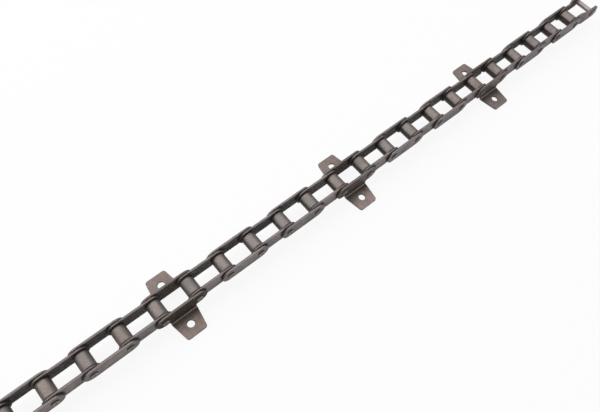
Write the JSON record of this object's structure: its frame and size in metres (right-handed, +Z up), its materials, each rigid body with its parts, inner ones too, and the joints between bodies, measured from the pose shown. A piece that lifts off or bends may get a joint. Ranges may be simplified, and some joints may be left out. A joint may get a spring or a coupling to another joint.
{
  "type": "conveyor chain",
  "caption": "Length of steel roller conveyor chain: stadium side plates, rollers on bushings, riveted pins, bent tabs with bolt holes, and a cranked offset link with its connecting pin.",
  "frame": {"origin": "the centre of the first bushing, on its bore axis and midway between the side plates", "axes": "+X along the chain from the open bushing end to the connecting pin, +Y across the chain along the pin axes, +Z up, away from the attachment tabs"},
  "size_m": [0.9732, 0.0804, 0.0294],
  "materials": {
    "plate_steel": "dark oiled rolled steel",
    "attachment_steel": "dark oiled rolled steel with brown and olive tints",
    "roller_steel": "warm grey turned steel, oiled",
    "pin_steel": "dark hardened steel, heads riveted",
    "cotter_steel": "bright drawn wire"
  },
  "bodies": {
    "inner_link_01": {"inner_link_01": "plate_steel"},
    "outer_link_01": {"outer_plates_01": "plate_steel", "rivet_pins_01": "pin_steel"},
    "inner_link_02": {"inner_link_02": "plate_steel"},
    "outer_link_02": {"outer_plates_02": "plate_steel", "rivet_pins_02": "pin_steel"},
    "inner_link_03": {"inner_link_03": "plate_steel"},
    "outer_link_03": {"attachment_plates_03": "attachment_steel", "rivet_pins_03": "pin_steel"},
    "inner_link_04": {"inner_link_04": "plate_steel"},
    "outer_link_04": {"outer_plates_04": "plate_steel", "rivet_pins_04": "pin_steel"},
    "inner_link_05": {"inner_link_05": "plate_steel"},
    "outer_link_05": {"outer_plates_05": "plate_steel", "rivet_pins_05": "pin_steel"},
    "inner_link_06": {"inner_link_06": "plate_steel"},
    "outer_link_06": {"attachment_plates_06": "attachment_steel", "rivet_pins_06": "pin_steel"},
    "inner_link_07": {"inner_link_07": "plate_steel"},
    "outer_link_07": {"outer_plates_07": "plate_steel", "rivet_pins_07": "pin_steel"},
    "inner_link_08": {"inner_link_08": "plate_steel"},
    "outer_link_08": {"outer_plates_08": "plate_steel", "rivet_pins_08": "pin_steel"},
    "inner_link_09": {"inner_link_09": "plate_steel"},
    "outer_link_09": {"attachment_plates_09": "attachment_steel", "rivet_pins_09": "pin_steel"},
    "inner_link_10": {"inner_link_10": "plate_steel"},
    "outer_link_10": {"outer_plates_10": "plate_steel", "rivet_pins_10": "pin_steel"},
    "inner_link_11": {"inner_link_11": "plate_steel"},
    "outer_link_11": {"outer_plates_11": "plate_steel", "rivet_pins_11": "pin_steel"},
    "offset_link": {"offset_sidebars": "plate_steel", "offset_bushing": "plate_steel", "end_pin": "pin_steel", "end_cotter": "cotter_steel"},
    "roller_01": {"roller_01": "roller_steel"},
    "roller_02": {"roller_02": "roller_steel"},
    "roller_03": {"roller_03": "roller_steel"},
    "roller_04": {"roller_04": "roller_steel"},
    "roller_05": {"roller_05": "roller_steel"},
    "roller_06": {"roller_06": "roller_steel"},
    "roller_07": {"roller_07": "roller_steel"},
    "roller_08": {"roller_08": "roller_steel"},
    "roller_09": {"roller_09": "roller_steel"},
    "roller_10": {"roller_10": "roller_steel"},
    "roller_11": {"roller_11": "roller_steel"},
    "roller_12": {"roller_12": "roller_steel"},
    "roller_13": {"roller_13": "roller_steel"},
    "roller_14": {"roller_14": "roller_steel"},
    "roller_15": {"roller_15": "roller_steel"},
    "roller_16": {"roller_16": "roller_steel"},
    "roller_17": {"roller_17": "roller_steel"},
    "roller_18": {"roller_18": "roller_steel"},
    "roller_19": {"roller_19": "roller_steel"},
    "roller_20": {"roller_20": "roller_steel"},
    "roller_21": {"roller_21": "roller_steel"},
    "roller_22": {"roller_22": "roller_steel"},
    "roller_23": {"roller_23": "roller_steel"}
  },
  "joints": [
    {"name": "link_hinge_01", "type": "hinge", "parent": "outer_link_01", "child": "inner_link_01", "pos_m": [0.0414, 0, 0], "axis": [0, -1, 0], "range_deg": [-120, 120]},
    {"name": "link_hinge_02", "type": "hinge", "parent": "inner_link_02", "child": "outer_link_01", "pos_m": [0.0828, 0, 0], "axis": [0, 1, 0], "range_deg": [-120, 120]},
    {"name": "link_hinge_03", "type": "hinge", "parent": "outer_link_02", "child": "inner_link_02", "pos_m": [0.1242, 0, 0], "axis": [0, -1, 0], "range_deg": [-120, 120]},
    {"name": "link_hinge_04", "type": "hinge", "parent": "inner_link_03", "child": "outer_link_02", "pos_m": [0.1656, 0, 0], "axis": [0, 1, 0], "range_deg": [-120, 120]},
    {"name": "link_hinge_05", "type": "hinge", "parent": "outer_link_03", "child": "inner_link_03", "pos_m": [0.207, 0, 0], "axis": [0, -1, 0], "range_deg": [-120, 120]},
    {"name": "link_hinge_06", "type": "hinge", "parent": "inner_link_04", "child": "outer_link_03", "pos_m": [0.2484, 0, 0], "axis": [0, 1, 0], "range_deg": [-120, 120]},
    {"name": "link_hinge_07", "type": "hinge", "parent": "outer_link_04", "child": "inner_link_04", "pos_m": [0.2898, 0, 0], "axis": [0, -1, 0], "range_deg": [-120, 120]},
    {"name": "link_hinge_08", "type": "hinge", "parent": "inner_link_05", "child": "outer_link_04", "pos_m": [0.3312, 0, 0], "axis": [0, 1, 0], "range_deg": [-120, 120]},
    {"name": "link_hinge_09", "type": "hinge", "parent": "outer_link_05", "child": "inner_link_05", "pos_m": [0.3726, 0, 0], "axis": [0, -1, 0], "range_deg": [-120, 120]},
    {"name": "link_hinge_10", "type": "hinge", "parent": "inner_link_06", "child": "outer_link_05", "pos_m": [0.414, 0, 0], "axis": [0, 1, 0], "range_deg": [-120, 120]},
    {"name": "link_hinge_11", "type": "hinge", "parent": "inner_link_06", "child": "outer_link_06", "pos_m": [0.4554, 0, 0], "axis": [0, 1, 0], "range_deg": [-120, 120]},
    {"name": "link_hinge_12", "type": "hinge", "parent": "outer_link_06", "child": "inner_link_07", "pos_m": [0.4968, 0, 0], "axis": [0, -1, 0], "range_deg": [-120, 120]},
    {"name": "link_hinge_13", "type": "hinge", "parent": "inner_link_07", "child": "outer_link_07", "pos_m": [0.5382, 0, 0], "axis": [0, 1, 0], "range_deg": [-120, 120]},
    {"name": "link_hinge_14", "type": "hinge", "parent": "outer_link_07", "child": "inner_link_08", "pos_m": [0.5796, 0, 0], "axis": [0, -1, 0], "range_deg": [-120, 120]},
    {"name": "link_hinge_15", "type": "hinge", "parent": "inner_link_08", "child": "outer_link_08", "pos_m": [0.621, 0, 0], "axis": [0, 1, 0], "range_deg": [-120, 120]},
    {"name": "link_hinge_16", "type": "hinge", "parent": "outer_link_08", "child": "inner_link_09", "pos_m": [0.6624, 0, 0], "axis": [0, -1, 0], "range_deg": [-120, 120]},
    {"name": "link_hinge_17", "type": "hinge", "parent": "inner_link_09", "child": "outer_link_09", "pos_m": [0.7038, 0, 0], "axis": [0, 1, 0], "range_deg": [-120, 120]},
    {"name": "link_hinge_18", "type": "hinge", "parent": "outer_link_09", "child": "inner_link_10", "pos_m": [0.7452, 0, 0], "axis": [0, -1, 0], "range_deg": [-120, 120]},
    {"name": "link_hinge_19", "type": "hinge", "parent": "inner_link_10", "child": "outer_link_10", "pos_m": [0.7866, 0, 0], "axis": [0, 1, 0], "range_deg": [-120, 120]},
    {"name": "link_hinge_20", "type": "hinge", "parent": "outer_link_10", "child": "inner_link_11", "pos_m": [0.828, 0, 0], "axis": [0, -1, 0], "range_deg": [-120, 120]},
    {"name": "link_hinge_21", "type": "hinge", "parent": "inner_link_11", "child": "outer_link_11", "pos_m": [0.8694, 0, 0], "axis": [0, 1, 0], "range_deg": [-120, 120]},
    {"name": "link_hinge_22", "type": "hinge", "parent": "outer_link_11", "child": "offset_link", "pos_m": [0.9108, 0, 0], "axis": [0, -1, 0], "range_deg": [-90, 90]},
    {"name": "roller_spin_01", "type": "hinge", "parent": "inner_link_01", "child": "roller_01", "pos_m": [0, 0, 0], "axis": [0, 1, 0], "continuous": true},
    {"name": "roller_spin_02", "type": "hinge", "parent": "inner_link_01", "child": "roller_02", "pos_m": [0.0414, 0, 0], "axis": [0, 1, 0], "continuous": true},
    {"name": "roller_spin_03", "type": "hinge", "parent": "inner_link_02", "child": "roller_03", "pos_m": [0.0828, 0, 0], "axis": [0, 1, 0], "continuous": true},
    {"name": "roller_spin_04", "type": "hinge", "parent": "inner_link_02", "child": "roller_04", "pos_m": [0.1242, 0, 0], "axis": [0, 1, 0], "continuous": true},
    {"name": "roller_spin_05", "type": "hinge", "parent": "inner_link_03", "child": "roller_05", "pos_m": [0.1656, 0, 0], "axis": [0, 1, 0], "continuous": true},
    {"name": "roller_spin_06", "type": "hinge", "parent": "inner_link_03", "child": "roller_06", "pos_m": [0.207, 0, 0], "axis": [0, 1, 0], "continuous": true},
    {"name": "roller_spin_07", "type": "hinge", "parent": "inner_link_04", "child": "roller_07", "pos_m": [0.2484, 0, 0], "axis": [0, 1, 0], "continuous": true},
    {"name": "roller_spin_08", "type": "hinge", "parent": "inner_link_04", "child": "roller_08", "pos_m": [0.2898, 0, 0], "axis": [0, 1, 0], "continuous": true},
    {"name": "roller_spin_09", "type": "hinge", "parent": "inner_link_05", "child": "roller_09", "pos_m": [0.3312, 0, 0], "axis": [0, 1, 0], "continuous": true},
    {"name": "roller_spin_10", "type": "hinge", "parent": "inner_link_05", "child": "roller_10", "pos_m": [0.3726, 0, 0], "axis": [0, 1, 0], "continuous": true},
    {"name": "roller_spin_11", "type": "hinge", "parent": "inner_link_06", "child": "roller_11", "pos_m": [0.414, 0, 0], "axis": [0, 1, 0], "continuous": true},
    {"name": "roller_spin_12", "type": "hinge", "parent": "inner_link_06", "child": "roller_12", "pos_m": [0.4554, 0, 0], "axis": [0, 1, 0], "continuous": true},
    {"name": "roller_spin_13", "type": "hinge", "parent": "inner_link_07", "child": "roller_13", "pos_m": [0.4968, 0, 0], "axis": [0, 1, 0], "continuous": true},
    {"name": "roller_spin_14", "type": "hinge", "parent": "inner_link_07", "child": "roller_14", "pos_m": [0.5382, 0, 0], "axis": [0, 1, 0], "continuous": true},
    {"name": "roller_spin_15", "type": "hinge", "parent": "inner_link_08", "child": "roller_15", "pos_m": [0.5796, 0, 0], "axis": [0, 1, 0], "continuous": true},
    {"name": "roller_spin_16", "type": "hinge", "parent": "inner_link_08", "child": "roller_16", "pos_m": [0.621, 0, 0], "axis": [0, 1, 0], "continuous": true},
    {"name": "roller_spin_17", "type": "hinge", "parent": "inner_link_09", "child": "roller_17", "pos_m": [0.6624, 0, 0], "axis": [0, 1, 0], "continuous": true},
    {"name": "roller_spin_18", "type": "hinge", "parent": "inner_link_09", "child": "roller_18", "pos_m": [0.7038, 0, 0], "axis": [0, 1, 0], "continuous": true},
    {"name": "roller_spin_19", "type": "hinge", "parent": "inner_link_10", "child": "roller_19", "pos_m": [0.7452, 0, 0], "axis": [0, 1, 0], "continuous": true},
    {"name": "roller_spin_20", "type": "hinge", "parent": "inner_link_10", "child": "roller_20", "pos_m": [0.7866, 0, 0], "axis": [0, 1, 0], "continuous": true},
    {"name": "roller_spin_21", "type": "hinge", "parent": "inner_link_11", "child": "roller_21", "pos_m": [0.828, 0, 0], "axis": [0, 1, 0], "continuous": true},
    {"name": "roller_spin_22", "type": "hinge", "parent": "inner_link_11", "child": "roller_22", "pos_m": [0.8694, 0, 0], "axis": [0, 1, 0], "continuous": true},
    {"name": "roller_spin_23", "type": "hinge", "parent": "offset_link", "child": "roller_23", "pos_m": [0.9108, 0, 0], "axis": [0, 1, 0], "continuous": true}
  ]
}
